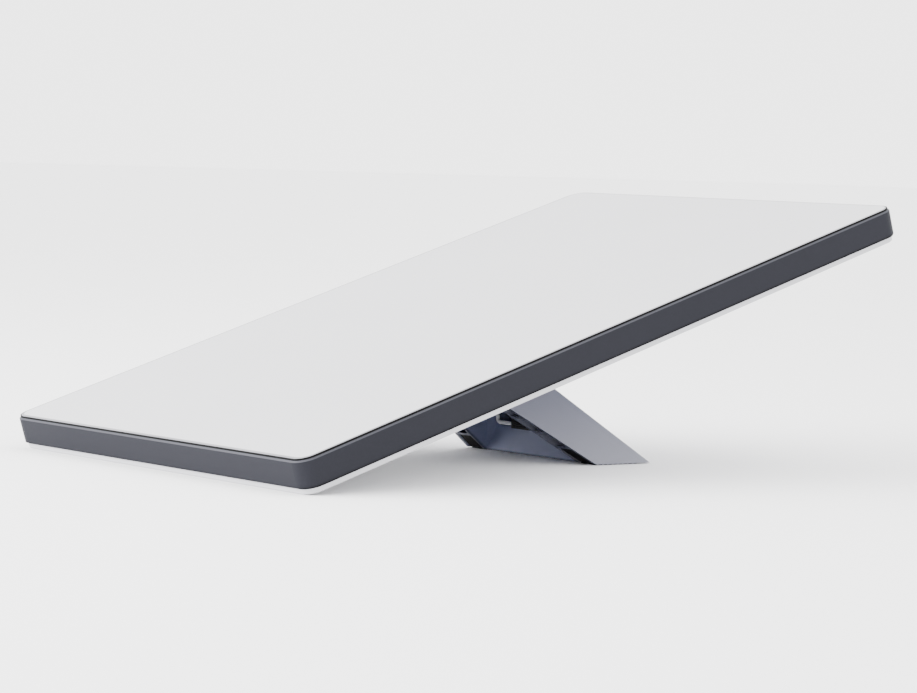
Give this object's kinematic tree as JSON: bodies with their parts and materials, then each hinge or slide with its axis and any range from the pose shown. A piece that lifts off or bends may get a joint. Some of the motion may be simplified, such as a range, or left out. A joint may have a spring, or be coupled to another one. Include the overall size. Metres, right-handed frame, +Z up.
{
  "type": "flat panel antenna on folding stand",
  "caption": "Thin rectangular flat-panel antenna with a white face and dark side band, tilted on its low edge by a wide flared folding stand at the back.",
  "frame": {"origin": "on the ground, at the middle of the object's box seen from above, standing on the panel's low edge and the stand's foot", "axes": "+Y towards the panel's high end along the ground, +Z up, +X along the low edge to the right when looking along +Y"},
  "size_m": [0.383, 0.5708, 0.2076],
  "materials": {
    "front_white": "fine matt, dirt-shedding skin",
    "band_grey": "dark grey moulding with a fine grain",
    "shell_light": "pale grey moulding",
    "seal_black": "soft black seal",
    "stand_grey": "satin moulding",
    "bracket_metal": "dark anodised",
    "pin_steel": "ground pin",
    "screw_steel": "plated screw",
    "spring_steel": "drawn wire",
    "bush_plastic": "self-lubricating bush",
    "foot_rubber": "grippy rubber",
    "lever_black": "dark moulding",
    "guide_white": "pale bent rod",
    "foam_white": "closed-cell foam",
    "board_green": "circuit board",
    "copper": "copper pads",
    "chip_black": "moulded package",
    "pad_grey": "thermal pad",
    "spreader_aluminium": "pressed plate",
    "can_steel": "tinned steel",
    "socket_black": "moulded socket",
    "vent_black": "moulded vent"
  },
  "bodies": {
    "panel": {"front_cover": "front_white", "cover_gasket": "seal_black", "side_frame": "band_grey", "frame_seal": "seal_black", "rear_shell": "shell_light", "pressure_vent": "vent_black", "case_screws": "screw_steel", "foam_spacer": "foam_white", "array_board": "board_green", "patch_elements": "copper", "beamformer_chips": "chip_black", "thermal_pads": "pad_grey", "heat_spreader": "spreader_aluminium", "modem_board": "board_green", "shield_cans": "can_steel", "main_processor": "chip_black", "positioning_module": "chip_black", "cable_socket": "socket_black", "port_bezel": "vent_black", "port_seal": "seal_black", "hinge_bracket": "bracket_metal", "hinge_bushes": "bush_plastic", "hinge_washers": "pin_steel", "bracket_screws": "screw_steel"},
    "stand": {"leg_shell": "stand_grey", "foot_pads": "foot_rubber", "hinge_pin": "pin_steel", "lever_pin": "pin_steel", "lever_spring": "spring_steel", "cable_guide": "guide_white"},
    "lever": {"release_lever": "lever_black"}
  },
  "joints": [
    {"name": "stand_fold", "type": "hinge", "parent": "panel", "child": "stand", "pos_m": [0, 0.02537, 0.07391], "axis": [1, 0, 0], "range_deg": [0, 55]},
    {"name": "lever_pull", "type": "hinge", "parent": "stand", "child": "lever", "pos_m": [0, 0.03295, 0.047], "axis": [-1, 0, 0], "range_deg": [0, 10], "stiffness_Nm_per_rad": 0.6, "springref_deg": -5.73}
  ]
}
